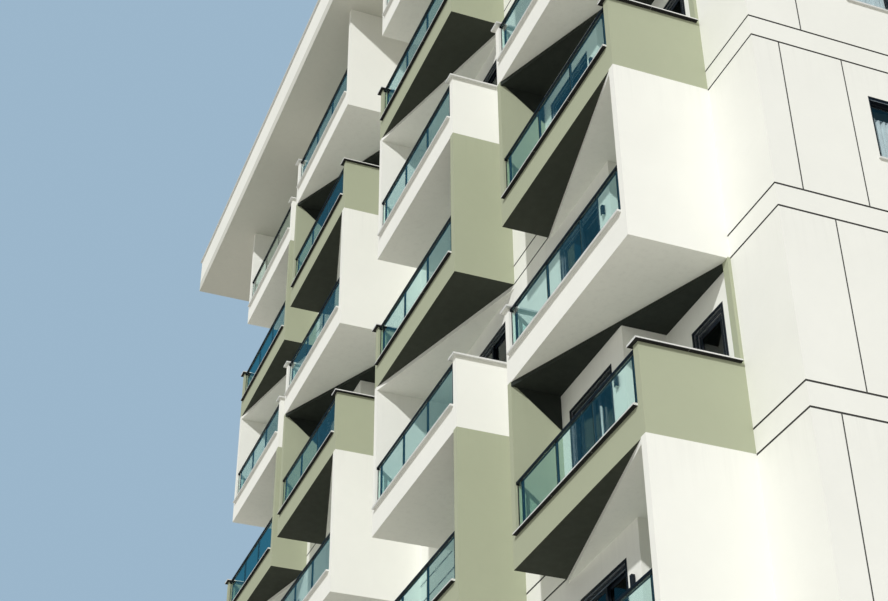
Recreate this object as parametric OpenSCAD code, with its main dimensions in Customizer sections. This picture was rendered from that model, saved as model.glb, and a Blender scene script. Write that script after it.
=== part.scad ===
// Apartment block with zigzag balconies, white and sage green storey by storey.
// Units are millimetres. The front looks along -Y, +X runs to the right gable, +Z is up.
// The origin is on the ground, under the middle of the roof.

/* [Storeys] */
// Number of balcony storeys above the ground storey
storeys = 9; // [3:1:10]
// Height from one balcony soffit to the next
storey_h = 3000; // [2900:50:3300]
// Height of the lowest balcony soffit above the ground
ground_h = 3400; // [3000:50:4200]
// Height of a floor above the soffit under it
floor_up = 200; // [160:10:260]

/* [Plan] */
// Width of one stack of balconies
bay_w = 4000; // [3700:50:4600]
// Clear width between the two inner stacks
inner_gap = 2340; // [1800:20:4000]
// Clear width between an inner and an outer stack
outer_gap = 1380; // [800:20:2400]
// Width of plain wall between an outer stack and the gable
end_zone = 1225; // [600:5:2400]
// Depth of the main block, over its walls
block_depth = 14000; // [10000:100:18000]
// How far the recessed front wall stands behind the inner balcony fronts
recess_back = 1790; // [1600:10:2400]
// How far the door wall stands behind the inner balcony fronts
door_back = 1080; // [900:10:1300]
// How far the outer stacks stand behind the inner ones
outer_back = 270; // [0:10:400]
// Length of the door wall inside a stack
nook_w = 2160; // [2000:10:2300]
// Thickness of the outer walls
wall_t = 250; // [150:10:350]
// How far the green corner strips stand in front of the recessed front wall
strip_front = 50; // [20:5:100]

/* [Balconies] */
// Thickness of the side walls and side parapets
side_t = 130; // [100:10:200]
// Thickness of the painted soffit lining
lining_t = 20; // [10:5:40]
// How much lower the back part of a soffit hangs than its front triangle
soffit_drop = 75; // [40:5:120]
// Thickness of the front band
band_t = 150; // [120:10:240]
// Height of the front band above the soffit
band_h = 465; // [320:5:600]
// Height of the side parapets and of the handrails above the soffit
parapet_h = 1330; // [1100:10:1500]
// Thickness of the copings
coping_t = 35; // [25:5:80]
// How far the copings stand out on both sides
coping_over = 60; // [20:5:80]

/* [Railing] */
// How far the handrail stands behind the band's front
rail_back = 25; // [20:5:60]
// Depth of the handrail
rail_w = 75; // [70:5:90]
// Height of the handrail
rail_h = 45; // [30:5:80]
// How far the glass stands behind the handrail's front
glass_in = 23; // [0:1:24]
// Thickness of the glass
glass_t = 12; // [8:1:16]
// Joint between two sheets of glass
glass_joint = 10; // [6:1:20]
// Number of sheets of glass in a balcony front
panes = 3; // [2:1:5]
// Width of a post
post_w = 40; // [30:5:60]
// Depth of a post
post_d = 32; // [20:2:40]
// Distance from a side wall to the first post
post_in = 120; // [60:10:300]

/* [Doors and windows] */
// Distance from a stack's side to its sliding door
door_off = 390; // [250:10:450]
// Width of a sliding door
door_w = 1390; // [900:10:1500]
// Height of the doors above the floor
door_h = 2320; // [2000:10:2450]
// Distance from a stack's side wall to its narrow door
side_door_off = 190; // [100:10:400]
// Width of the narrow door
side_door_w = 850; // [600:10:850]
// Width of the entrance
entrance_w = 1500; // [900:50:2000]
// Distance from a front corner to the first gable window
window_off = 1780; // [800:20:2000]
// Width of a window
window_w = 1500; // [600:50:1800]
// Height of a window
window_h = 1150; // [600:50:1400]
// Height of a window's head above the soffit under its storey
window_head = 2440; // [2000:20:2600]
// Number of windows in a storey of the back wall
back_windows = 6; // [2:1:8]

/* [Roof] */
// How far the roof stands out past the front and back walls
roof_over = 2290; // [1900:10:2600]
// How far the roof stands out past the gables
roof_side = 1950; // [1600:10:2600]
// Thickness of the roof slab
roof_t = 300; // [200:10:500]
// Height of the roof's fascia, over the slab's edge
fascia_h = 1050; // [600:10:1400]
// Thickness of the fascia
fascia_t = 180; // [100:10:300]
// Thickness of the metal cap
cap_t = 80; // [30:5:100]
// How far the cap stands out
cap_over = 45; // [10:5:60]

/* [Hidden] */

// Colours
WHITE = [0.95, 0.95, 0.92];
GREEN = [0.66, 0.69, 0.57];
OLIVE = [0.28, 0.30, 0.25];
DARK = [0.10, 0.12, 0.12];
CONCRETE = [0.72, 0.71, 0.68];
GLASS = [0.45, 0.72, 0.72, 0.5];
METAL = [0.62, 0.63, 0.64];

// Heights
function level_z(k) = k == 0 ? 0 : ground_h + (k - 1) * storey_h;
roof_z = level_z(storeys + 1);
coping_z = band_h + coping_t;

// Faces of the walls and of the balcony fronts
front_y = -block_depth / 2;
back_y = block_depth / 2;
inner_y = front_y - recess_back;
outer_y = inner_y + outer_back;
door_y = inner_y + door_back;

// Sides of the stacks that face the outer gaps, and the steps between the two front walls
inner_x = inner_gap / 2 + bay_w;
outer_x = inner_x + outer_gap;
half_len = outer_x + bay_w + end_zone;
inner_step = inner_x - nook_w;
outer_step = outer_x + nook_w;

// Stacks from right to left: x of the side at the outer gap, way to the recess, y of the front
STACKS = [
    [outer_x, 1, outer_y], [inner_x, -1, inner_y],
    [-inner_x, 1, inner_y], [-outer_x, -1, outer_y]
];
function to_door_wall(stack) = door_y - stack[2];
function to_recess_wall(stack) = front_y - stack[2];
function has_strip(stack) = abs(stack[0]) > inner_x;

// Storeys of each colour: odd ones are white and even ones are green
WHITES = [for (k = [1 : storeys]) if (k % 2 == 1) k];
GREENS = [for (k = [1 : storeys]) if (k % 2 == 0) k];

// Outer walls: axis, start, end, near face, far face, openings, sill and head over the soffit
door_gap = [floor_up, floor_up + door_h];
window_gap = [window_head - window_h, window_head];
inner_door = [inner_x - door_off - door_w, inner_x - door_off];
outer_door = [outer_x + door_off, outer_x + door_off + door_w];
DOOR_WALL = ["x", inner_step, outer_step, door_y, door_y + wall_t, [inner_door, outer_door], door_gap];
side_door_x = bay_w - side_t - side_door_off;
inner_side_door = [inner_x - side_door_x, inner_x - side_door_x + side_door_w];
outer_side_door = [outer_x + side_door_x - side_door_w, outer_x + side_door_x];
INNER_WALL = ["x", entrance_w / 2, inner_step + wall_t, front_y, front_y + wall_t,
    [inner_side_door], door_gap];
OUTER_WALL = ["x", outer_step - wall_t, half_len, front_y, front_y + wall_t,
    [outer_side_door], door_gap];
front_window = [front_y + window_off, front_y + window_off + window_w];
GABLE = ["y", front_y + wall_t, back_y - wall_t, half_len - wall_t, half_len,
    [front_window, [-window_w / 2, window_w / 2], [-front_window[1], -front_window[0]]], window_gap];
back_pitch = 2 * half_len / back_windows;
BACK_WALL = ["x", -half_len, half_len, back_y - wall_t, back_y,
    [for (i = [0 : back_windows - 1]) let (x = (i + 0.5) * back_pitch - half_len)
        [x - window_w / 2, x + window_w / 2]], window_gap];

// General shapes
module box(low, high) {
    translate(low) cube(high - low);
}

module both_sides() {
    children();
    mirror([1, 0, 0]) children();
}

module in_wall(wall, from, to, low, high) {
    if (wall[0] == "x") box([from, wall[3], low], [to, wall[4], high]);
    else box([wall[3], from, low], [wall[4], to, high]);
}

// Full-height strips of a wall between its rows of openings
module piers(wall) {
    edges = concat([wall[1]], [for (gap = wall[5]) each gap], [wall[2]]);
    for (i = [0 : 2 : len(edges) - 2]) in_wall(wall, edges[i], edges[i + 1], 0, roof_z);
}

// Pieces of a wall under, between and over its openings
module spandrels(wall) {
    sill = wall[6][0];
    head = wall[6][1];
    for (gap = wall[5]) {
        in_wall(wall, gap[0], gap[1], 0, sill);
        for (k = [0 : storeys - 1])
            in_wall(wall, gap[0], gap[1], level_z(k) + head, level_z(k + 1) + sill);
        in_wall(wall, gap[0], gap[1], level_z(storeys) + head, roof_z);
    }
}

// A balcony's own frame: x from its outer-gap side to its recess side, y back from its front
module at_balcony(stack, k) {
    translate([stack[0], stack[2], level_z(k)])
        mirror([stack[1] < 0 ? 1 : 0, 0, 0]) children();
}

// Storeys with a full wall or a strip under the soffit, which take its place there
function soffit_from(k) = k > 1 && k % 2 == 1 ? side_t : 0;
function soffit_to(k) = k % 2 == 1 ? bay_w : bay_w - side_t;
strip_x = bay_w - side_t;
function strip_y(stack) = to_recess_wall(stack) - strip_front;

// Plan of the soffit, which steps back into the recess
module soffit_plan(stack, k) {
    difference() {
        polygon([
            [soffit_from(k), 0], [soffit_to(k), 0], [soffit_to(k), to_recess_wall(stack)],
            [nook_w, to_recess_wall(stack)], [nook_w, to_door_wall(stack)],
            [soffit_from(k), to_door_wall(stack)]
        ]);
        if (k > 1 && k % 2 == 1 && has_strip(stack))
            translate([strip_x, strip_y(stack)]) square([side_t, strip_front]);
    }
}

// Front triangle of a soffit, in its own storey's paint: up to the far corner of the full wall
module soffit_triangle(stack, k) {
    if (k % 2 == 0) polygon([[0, 0], [soffit_to(k), 0], [0, to_door_wall(stack)]]);
    else if (has_strip(stack))
        polygon([[soffit_from(k), 0], [bay_w, 0], [bay_w, strip_y(stack)], [strip_x, strip_y(stack)]]);
    else polygon([[soffit_from(k), 0], [bay_w, 0], [bay_w, to_recess_wall(stack)]]);
}

module soffit_front(stack, k) {
    at_balcony(stack, k) linear_extrude(lining_t) intersection() {
        soffit_plan(stack, k);
        soffit_triangle(stack, k);
    }
}

// Back part of a soffit, lower than the triangle and in the other storeys' paint
module soffit_rest(stack, k) {
    at_balcony(stack, k) translate([0, 0, -soffit_drop]) linear_extrude(soffit_drop + lining_t)
        difference() {
            soffit_plan(stack, k);
            soffit_triangle(stack, k);
        }
}

module balcony_slab(stack, k) {
    at_balcony(stack, k)
        box([side_t, band_t, lining_t], [bay_w - side_t, to_door_wall(stack), floor_up]);
}

module front_band(stack, k) {
    at_balcony(stack, k) box([side_t, 0, lining_t], [bay_w - side_t, band_t, band_h]);
}

// A coping over the band, from side wall to side wall
module front_coping(stack, k) {
    at_balcony(stack, k)
        box([side_t, -coping_over, band_h], [bay_w - side_t, band_t + coping_over, coping_z]);
}

// Side wall up to the next storey's lining: at the recess on white storeys, else at the outer gap
function wall_top(k) = k == storeys ? storey_h : storey_h + lining_t;

module side_wall(stack, k) {
    at_balcony(stack, k)
        if (k % 2 == 1) box([bay_w - side_t, 0, lining_t], [bay_w, to_recess_wall(stack), wall_top(k)]);
        else box([0, 0, lining_t], [side_t, to_door_wall(stack), wall_top(k)]);
}

// Half-height parapet on the other side
module side_parapet(stack, k) {
    at_balcony(stack, k)
        if (k % 2 == 1) box([0, 0, lining_t], [side_t, to_door_wall(stack), parapet_h]);
        else box([bay_w - side_t, 0, lining_t], [bay_w, to_recess_wall(stack), parapet_h]);
}

module side_coping(stack, k) {
    middle = k % 2 == 1 ? side_t / 2 : bay_w - side_t / 2;
    half_w = side_t / 2 + coping_over;
    recess = has_strip(stack) ? strip_y(stack) : to_recess_wall(stack);
    wall = k % 2 == 1 ? to_door_wall(stack) : recess;
    at_balcony(stack, k)
        box([middle - half_w, -coping_over, parapet_h], [middle + half_w, wall, parapet_h + coping_t]);
}

// Upright strip between a green parapet and the soffit over it, on the recessed wall
module corner_strip(stack, k) {
    at_balcony(stack, k)
        box([strip_x, strip_y(stack), parapet_h], [bay_w, to_recess_wall(stack), wall_top(k)]);
}

// Railing between the side wall and the parapet: the glass runs in front of the posts
rail_z = parapet_h - rail_h;
glass_y = rail_back + glass_in;
rail_ends = [side_t, bay_w - side_t];
post_pitch = (rail_ends[1] - rail_ends[0] - 2 * post_in - post_w) / panes;
function post_x(i) = rail_ends[0] + post_in + i * post_pitch;
function joint_x(i) = post_x(i) + post_w / 2;
function sheet_from(i) = i == 0 ? rail_ends[0] : joint_x(i) + glass_joint / 2;
function sheet_to(i) = i == panes - 1 ? rail_ends[1] : joint_x(i + 1) - glass_joint / 2;

// Ground and floors
module ground_slab() {
    color(CONCRETE) box([wall_t - half_len, front_y + wall_t, 0],
        [half_len - wall_t, back_y - wall_t, floor_up]);
}

module floor_slabs() {
    color(CONCRETE) for (k = [1 : storeys])
        box([wall_t - half_len, front_y + wall_t, level_z(k)],
            [half_len - wall_t, back_y - wall_t, level_z(k) + floor_up]);
}

module nook_floors() {
    color(CONCRETE) both_sides() for (k = [0 : storeys])
        box([inner_step + wall_t, door_y + wall_t, level_z(k)],
            [outer_step - wall_t, front_y + wall_t, level_z(k) + floor_up]);
}

// Outer walls
module door_wall_piers() {
    color(WHITE) both_sides() piers(DOOR_WALL);
}

module door_wall_spandrels() {
    color(WHITE) both_sides() spandrels(DOOR_WALL);
}

module recess_wall_piers() {
    color(WHITE) both_sides() {
        piers(INNER_WALL);
        piers(OUTER_WALL);
    }
}

// The middle spandrel stands over the entrance, from its head to the roof
module recess_wall_spandrels() {
    color(WHITE) {
        both_sides() {
            spandrels(INNER_WALL);
            spandrels(OUTER_WALL);
        }
        box([-entrance_w / 2, front_y, 0], [entrance_w / 2, front_y + wall_t, floor_up]);
        box([-entrance_w / 2, front_y, door_gap[1]], [entrance_w / 2, front_y + wall_t, roof_z]);
    }
}

module front_return_walls() {
    color(WHITE) both_sides() {
        box([inner_step, door_y + wall_t, 0], [inner_step + wall_t, front_y, roof_z]);
        box([outer_step - wall_t, door_y + wall_t, 0], [outer_step, front_y, roof_z]);
    }
}

module right_gable_piers() {
    color(WHITE) piers(GABLE);
}

module right_gable_spandrels() {
    color(WHITE) spandrels(GABLE);
}

module left_gable_piers() {
    color(WHITE) mirror([1, 0, 0]) piers(GABLE);
}

module left_gable_spandrels() {
    color(WHITE) mirror([1, 0, 0]) spandrels(GABLE);
}

module back_wall_piers() {
    color(WHITE) piers(BACK_WALL);
}

module back_wall_spandrels() {
    color(WHITE) spandrels(BACK_WALL);
}

// Balconies
module white_balcony_slabs() {
    color(CONCRETE) for (stack = STACKS, k = WHITES) balcony_slab(stack, k);
}

module green_balcony_slabs() {
    color(CONCRETE) for (stack = STACKS, k = GREENS) balcony_slab(stack, k);
}

module recess_slabs() {
    color(CONCRETE) for (stack = STACKS, k = [1 : storeys])
        at_balcony(stack, k) box([nook_w, to_door_wall(stack), lining_t],
            [bay_w - side_t, to_recess_wall(stack), floor_up]);
}

module white_soffits() {
    color(WHITE) for (stack = STACKS) {
        for (k = WHITES) soffit_front(stack, k);
        for (k = GREENS) soffit_rest(stack, k);
    }
}

module green_soffits() {
    color(OLIVE) for (stack = STACKS) {
        for (k = GREENS) soffit_front(stack, k);
        for (k = WHITES) soffit_rest(stack, k);
    }
}

module white_front_bands() {
    color(WHITE) for (stack = STACKS, k = WHITES) front_band(stack, k);
}

module green_front_bands() {
    color(GREEN) for (stack = STACKS, k = GREENS) front_band(stack, k);
}

module white_side_walls() {
    color(WHITE) for (stack = STACKS, k = WHITES) side_wall(stack, k);
}

module green_side_walls() {
    color(GREEN) for (stack = STACKS, k = GREENS) side_wall(stack, k);
}

module white_side_parapets() {
    color(WHITE) for (stack = STACKS, k = WHITES) side_parapet(stack, k);
}

module green_side_parapets() {
    color(GREEN) for (stack = STACKS, k = GREENS) side_parapet(stack, k);
}

module white_front_copings() {
    color(METAL) for (stack = STACKS, k = WHITES) front_coping(stack, k);
}

module dark_front_copings() {
    color(DARK) for (stack = STACKS, k = GREENS) front_coping(stack, k);
}

module white_side_copings() {
    color(METAL) for (stack = STACKS, k = WHITES) side_coping(stack, k);
}

module dark_side_copings() {
    color(DARK) for (stack = STACKS, k = GREENS) side_coping(stack, k);
}

module green_corner_strips() {
    color(GREEN) for (stack = STACKS, k = GREENS) if (has_strip(stack)) corner_strip(stack, k);
}

module railing_glass() {
    color(GLASS) for (stack = STACKS, k = [1 : storeys], i = [0 : panes - 1]) at_balcony(stack, k)
        box([sheet_from(i), glass_y, coping_z], [sheet_to(i), glass_y + glass_t, rail_z]);
}

module railing_posts() {
    color(DARK) for (stack = STACKS, k = [1 : storeys], i = [0 : panes]) at_balcony(stack, k)
        translate([post_x(i), glass_y + glass_t, coping_z]) cube([post_w, post_d, rail_z - coping_z]);
}

module handrails() {
    color(DARK) for (stack = STACKS, k = [1 : storeys]) at_balcony(stack, k)
        box([rail_ends[0], rail_back, rail_z], [rail_ends[1], rail_back + rail_w, parapet_h]);
}

// Roof
roof_x = half_len + roof_side;
roof_y = back_y + roof_over;
fascia_z = roof_z + fascia_h;

module roof_slab() {
    color(WHITE) box([-roof_x, -roof_y, roof_z], [roof_x, roof_y, roof_z + roof_t]);
}

module roof_fascia_long() {
    color(WHITE) for (side = [-1, 1]) translate([0, side * (roof_y - fascia_t / 2), 0])
        box([-roof_x, -fascia_t / 2, roof_z + roof_t], [roof_x, fascia_t / 2, fascia_z]);
}

module roof_fascia_short() {
    color(WHITE) both_sides() box([roof_x - fascia_t, fascia_t - roof_y, roof_z + roof_t],
        [roof_x, roof_y - fascia_t, fascia_z]);
}

module roof_cap_long() {
    color(METAL) for (side = [-1, 1]) translate([0, side * (roof_y - fascia_t / 2), 0])
        box([-roof_x - cap_over, -fascia_t / 2 - cap_over, fascia_z],
            [roof_x + cap_over, fascia_t / 2 + cap_over, fascia_z + cap_t]);
}

module roof_cap_short() {
    color(METAL) both_sides()
        box([roof_x - fascia_t - cap_over, fascia_t + cap_over - roof_y, fascia_z],
            [roof_x + cap_over, roof_y - fascia_t - cap_over, fascia_z + cap_t]);
}

ground_slab();
floor_slabs();
nook_floors();
door_wall_piers();
door_wall_spandrels();
recess_wall_piers();
recess_wall_spandrels();
front_return_walls();
right_gable_piers();
right_gable_spandrels();
left_gable_piers();
left_gable_spandrels();
back_wall_piers();
back_wall_spandrels();
white_balcony_slabs();
green_balcony_slabs();
recess_slabs();
white_soffits();
green_soffits();
white_front_bands();
green_front_bands();
white_side_walls();
green_side_walls();
white_side_parapets();
green_side_parapets();
white_front_copings();
dark_front_copings();
white_side_copings();
dark_side_copings();
green_corner_strips();
railing_glass();
railing_posts();
handrails();
roof_slab();
roof_fascia_long();
roof_fascia_short();
roof_cap_long();
roof_cap_short();
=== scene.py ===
import math
import random
from itertools import product

import bmesh
import bpy
import numpy as np
from mathutils import Matrix, Vector


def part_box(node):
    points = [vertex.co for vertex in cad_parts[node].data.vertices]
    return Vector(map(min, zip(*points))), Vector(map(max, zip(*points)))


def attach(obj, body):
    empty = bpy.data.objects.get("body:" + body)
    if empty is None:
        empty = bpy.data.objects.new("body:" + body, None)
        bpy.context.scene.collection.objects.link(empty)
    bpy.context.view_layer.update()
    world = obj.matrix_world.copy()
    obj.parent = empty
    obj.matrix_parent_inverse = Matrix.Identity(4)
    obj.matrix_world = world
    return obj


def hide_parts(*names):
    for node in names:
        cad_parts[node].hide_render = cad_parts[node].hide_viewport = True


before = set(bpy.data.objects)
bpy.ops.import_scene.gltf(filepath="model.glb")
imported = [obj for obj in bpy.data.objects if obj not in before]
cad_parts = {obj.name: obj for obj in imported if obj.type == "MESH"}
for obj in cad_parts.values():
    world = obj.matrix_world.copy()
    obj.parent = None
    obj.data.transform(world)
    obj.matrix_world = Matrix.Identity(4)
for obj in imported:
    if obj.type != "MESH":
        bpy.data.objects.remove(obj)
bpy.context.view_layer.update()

SEED = 11

# Camera, at the photograph's place and angle
CAMERA_AT = (25.3857, -16.9528, 2.5295)
CAMERA_RIGHT = (0.36251, 0.93196, -0.00655)
CAMERA_UP = (0.53675, -0.20303, 0.81895)
CAMERA_BACK = (0.76190, -0.30039, -0.57383)
LENS_MM = 66.026
SENSOR_MM = 36
CLIP_START = 0.1
CLIP_END = 2000

# Light: the way to the sun, its strength and width, and the plain sky
TO_SUN = (1.08, -1.0, 0.85)
SUN_STRENGTH = 2.55
SUN_WIDTH = math.radians(1.5)
SKY_LIGHT = (0.96, 0.98, 1.0, 1)
SKY_STRENGTH = 0.40
BACKDROP = (0.33, 0.47, 0.60, 1)
MIRRORED_SKY = (0.030, 0.128, 0.205, 1)

# Colours, linear
WHITE = (0.87, 0.87, 0.81)
SAGE = (0.405, 0.432, 0.305)
OLIVE = (0.040, 0.046, 0.033)
# Olive darkened as painted shade: on the soffit boards that hang lower, and on the triangles on green walls'
# inner faces
SHADED_OLIVE = (0.021, 0.026, 0.021)
ROOF_SOFFIT = (0.64, 0.64, 0.575)
JOINT = (0.085, 0.085, 0.078)
STONE = (0.72, 0.72, 0.69)
# Near-black under dark copings: dark paint deepened as painted shade for the shadow under them
UNDERSIDE_PAINT_AND_SHADE = (0.016, 0.016, 0.015)
NAVY = (0.006, 0.010, 0.016)
ENAMEL = (0.66, 0.67, 0.66)
# Near-white of a painted highlight: the sunlit edge of the door that stands ajar
EDGE_HIGHLIGHT = (0.94, 0.95, 0.94)
MILK = (0.80, 0.80, 0.76)
ALUMINIUM = (0.62, 0.63, 0.66)
CONCRETE = (0.47, 0.46, 0.43)
TILE = (0.52, 0.49, 0.44)
ZINC = (0.50, 0.52, 0.54)
FELT = (0.36, 0.36, 0.35)
CLOTH = (0.72, 0.76, 0.78)
FLOOR = (0.77, 0.745, 0.675)
RAILING_TINT = (0.76, 0.995, 0.96)
# Door glass tint: tinted glass, made near-black as painted shade for the rooms behind it
PANE_TINT_AND_ROOM_SHADE = (0.04, 0.11, 0.13)
CLEAR_TINT = (0.80, 0.86, 0.86)

# Score lines in the render: heights of the level ones over each soffit, widths and depth, and how far
# upright ones stand from a corner and from the middle between windows, on odd and even storeys
GROOVES_UP = (0.01, 0.375)
LEVEL_W = 0.030
UPRIGHT_W = 0.020
GROOVE_D = 0.012
CORNER_LINES = {1: (0.43, 1.44), 0: (0.85,)}
PIER_LINES = {1: (-0.49, 0.49), 0: (0.0,)}

# Frames, sashes and panes
CHAMFER = 0.002
STILE = 0.052
SASH_T = 0.030
PANE_T = 0.008
REBATE = 0.008
LEAF_STILE = 0.075
LEAF_IN = 0.045
THRESHOLD_T = 0.020

# Sliding doors: depths of the two sashes, and the one door that stands ajar with a painted highlight on its
# edge
FRONT_SASH_IN = 0.036
BACK_SASH_IN = 0.078
AJAR = 0.19
AJAR_STOREY = 4
# Height where the painted highlight stops, where the sun's shadow begins
HIGHLIGHT_TOP = 1.88

# Slimmer frames of the windows, their sills, and the curtains on rods in their reveals
SLIM = 0.022
SLIM_DEPTH = 0.10
SLIM_HEAD = 0.026
SLIM_STILE = 0.030
SLIM_BEAD = 0.006
# Lining under a window's head, in the frame's near-black as painted shade
LINING_T = 0.012
LINING_IN = 0.245
SILL_T = 0.030
FOLDS = 17
FOLD_DEEP = 0.032
CLOTH_T = 0.0012
ROD_RADIUS = 0.008
ROD_IN = 0.19
ROD_UNDER_HEAD = 0.24

# Wall lamps: distance from the door, width, and height over the floor
LAMP_OFF = 0.150
LAMP_W = 0.060
LAMP_UP = 1.905

# Balconies: slope of the painted shade on a green wall's inner face, along the sun's shadow line, light
# nose of a dark coping, drips under copings, and the plates and channels at the ends of a handrail
SHADOW_LINE_SLOPE = 0.85
NOSE = 0.024
DRIP_IN = 0.016
DRIP_W = 0.010
DRIP_DEEP = 0.007
PLATE_T = 0.006
CHANNEL_W = 0.014
CHANNEL_LIP = 0.004

# Roof: felt, its lapped seams and its upstands
FELT_T = 0.006
SEAM_T = 0.005
SEAM_W = 0.10
FELT_SHEETS = 18
UPSTAND = 0.28
FILLET = 0.066


# Mesh building

class Build:
    """Points, faces and material numbers of one piece."""

    def __init__(self):
        self.points = []
        self.faces = []
        self.mats = []

    def add(self, points, faces, mats):
        start = len(self.points)
        self.points += [tuple(point) for point in points]
        self.faces += [tuple(start + i for i in face) for face in faces]
        self.mats += mats

    def box(self, low, high, mat=0, edge=0.0):
        """A box between two corners, with chamfered edges where edge is over 0."""
        points, faces = chamfered(low, high, edge) if edge else plain_box(low, high)
        self.add(points, faces, [mat] * len(faces))

    def rod(self, outline, axis, start, end, mat=0):
        """A closed outline, given in the two other axes, drawn from start to end along an axis."""
        count = len(outline)
        points = [(*point[:axis], place, *point[axis:]) for place in (start, end) for point in outline]
        faces = [(i, (i + 1) % count, count + (i + 1) % count, count + i) for i in range(count)]
        faces += [tuple(range(count)), tuple(range(count, 2 * count))]
        self.add(points, faces, [mat] * len(faces))

    def rods(self, outline, axis, start, end, count, joint):
        """A rod in equal lengths, with joints between them."""
        step = (end - start) / count
        for i in range(count):
            before, after = joint / 2 if i else 0, joint / 2 if i < count - 1 else 0
            self.rod(outline, axis, start + i * step + before, start + (i + 1) * step - after)

    def merge(self, other, place):
        """Another build, set down by a matrix."""
        self.add([place @ Vector(point) for point in other.points], other.faces, other.mats)


def plain_box(low, high):
    """Points and faces of a box."""
    ends = (low, high)
    points = [[ends[corner[i]][i] for i in range(3)] for corner in product((0, 1), repeat=3)]
    return points, [(0, 1, 3, 2), (4, 6, 7, 5), (0, 4, 5, 1), (2, 3, 7, 6), (0, 2, 6, 4), (1, 5, 7, 3)]


def quad(start, first, second):
    """Four points of a grid, from one of them and the steps to its two neighbours."""
    return start, start + first, start + first + second, start + second


def chamfered(low, high, edge):
    """Points and faces of a box with chamfers: each corner has one point on each of its faces."""
    ends = (low, high)
    points = [
        [ends[corner[i]][i] + (0 if i == axis else edge * (1 - 2 * corner[i])) for i in range(3)]
        for corner, axis in product(product((0, 1), repeat=3), range(3))
    ]
    faces = [(3 * i, 3 * i + 1, 3 * i + 2) for i in range(8)]
    # How far on the same point of the next corner is, along x, y and z
    steps = (12, 6, 3)
    for axis in range(3):
        right, up = (axis + 1) % 3, (axis + 2) % 3
        along, across, upward = steps[axis], steps[right], steps[up]
        faces += [quad(start + axis, across, upward) for start in (0, along)]
        faces += [quad(start + right, along, up - right) for start in (0, upward, across, across + upward)]
    return points, faces


def round_outline(x, y, half_x, half_y, radius, steps):
    """A rectangle with round corners, as points."""
    points = []
    for quarter, (a, b) in enumerate(((1, 1), (-1, 1), (-1, -1), (1, -1))):
        for i in range(steps + 1):
            turn = math.pi / 2 * (quarter + i / steps)
            points.append((x + a * (half_x - radius) + radius * math.cos(turn),
                           y + b * (half_y - radius) + radius * math.sin(turn)))
    return points


def circle(radius, count):
    turns = [2 * math.pi * i / count for i in range(count)]
    return [(radius * math.cos(turn), radius * math.sin(turn)) for turn in turns]


def make(name, build, finishes, slot, *nodes, smooth=False, under=None):
    """The build as a piece on the root body, in the named finishes, standing for CAD nodes.
    under is the number of the finish for faces that look down."""
    looks_down = -0.6
    mesh = bpy.data.meshes.new(name)
    mesh.from_pydata(build.points, [], build.faces)
    for finish in finishes:
        mesh.materials.append(FINISH[finish])
    mesh.polygons.foreach_set("material_index", build.mats)
    shape = bmesh.new()
    shape.from_mesh(mesh)
    bmesh.ops.recalc_face_normals(shape, faces=shape.faces)
    shape.normal_update()
    for face in shape.faces:
        face.smooth = smooth
        if under is not None and face.normal.z < looks_down:
            face.material_index = under
    shape.to_mesh(mesh)
    shape.free()
    piece = bpy.data.objects.new(name, mesh)
    bpy.context.scene.collection.objects.link(piece)
    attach(piece, "root")
    if nodes:
        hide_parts(*nodes)
    return piece


def rebuild(cad_name, name, finishes, slot, shape, *settings, under=None):
    """A piece that stands for a CAD node, with a shape in place of each of its solids."""
    build = Build()
    for low, high in solids(cad_name):
        shape(build, low, high, *settings)
    make(name, build, finishes, slot, cad_name, under=under)


def solids(*nodes):
    """Corners (low, high) of each loose solid of the CAD nodes."""
    found = []
    for cad_name in nodes:
        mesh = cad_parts[cad_name].data
        points = np.array([vertex.co for vertex in mesh.vertices]).round(4)
        points, number = np.unique(points, axis=0, return_inverse=True)
        number = number.ravel()
        leader = list(range(len(points)))

        def head(i):
            while leader[i] != i:
                i = leader[i]
            return i

        for face in mesh.polygons:
            first, *others = [head(number[i]) for i in face.vertices]
            for other in others:
                leader[head(other)] = head(first)
        groups = {}
        for i in range(len(points)):
            groups.setdefault(head(i), []).append(points[i])
        for group in groups.values():
            low, high = np.min(group, axis=0), np.max(group, axis=0)
            found.append((Vector(low.tolist()), Vector(high.tolist())))
    return found


# Measures from the frame: heights of the soffits, a storey's height, the middle of the gap between an inner
# and an outer stack, and the glass behind the front of a handrail

SOFFIT_T = min(high.z - low.z for low, high in solids("white_soffits"))
LEVELS = sorted({round(round(low.z, 3) - SOFFIT_T, 3) for low, high in solids("recess_slabs")})
STOREY = round(LEVELS[1] - LEVELS[0], 3)
GAP_MIDDLE = (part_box("door_wall_piers")[1].x + min(
    low.x for low, high in solids("door_wall_piers") if low.x > 0)) / 2
SHEET_LOW, SHEET_HIGH = min(solids("railing_glass"), key=lambda solid: (solid[0].y, solid[0].z))
RAIL_FRONT = min(low.y for low, high in solids("handrails"))
GLASS_FRONT = SHEET_LOW.y - RAIL_FRONT
GLASS_BACK = SHEET_HIGH.y - RAIL_FRONT
GLASS_TALL = SHEET_HIGH.z - SHEET_LOW.z


def gap_is_left(x):
    """Whether the nearer gap between an inner and an outer stack lies to the left of x."""
    return (x > 0) == (abs(x) > GAP_MIDDLE)


# Materials

def connect(socket, value):
    """Links a value that is a socket itself, and sets any other."""
    if isinstance(value, bpy.types.NodeSocket):
        socket.id_data.links.new(value, socket)
    else:
        socket.default_value = value


def node(tree, kind, inputs, **settings):
    """A shader node with its settings and inputs."""
    made = tree.nodes.new(f"ShaderNode{kind}")
    for key, value in settings.items():
        setattr(made, key, value)
    for key, value in inputs.items():
        connect(made.inputs[key], value)
    return made


def feed(shader, **values):
    """Puts values and patterns into the shader's inputs, such as specular_ior_level."""
    for key, value in values.items():
        connect(shader.inputs[key.replace("_", " ").title().replace("Ior", "IOR")], value)


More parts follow.
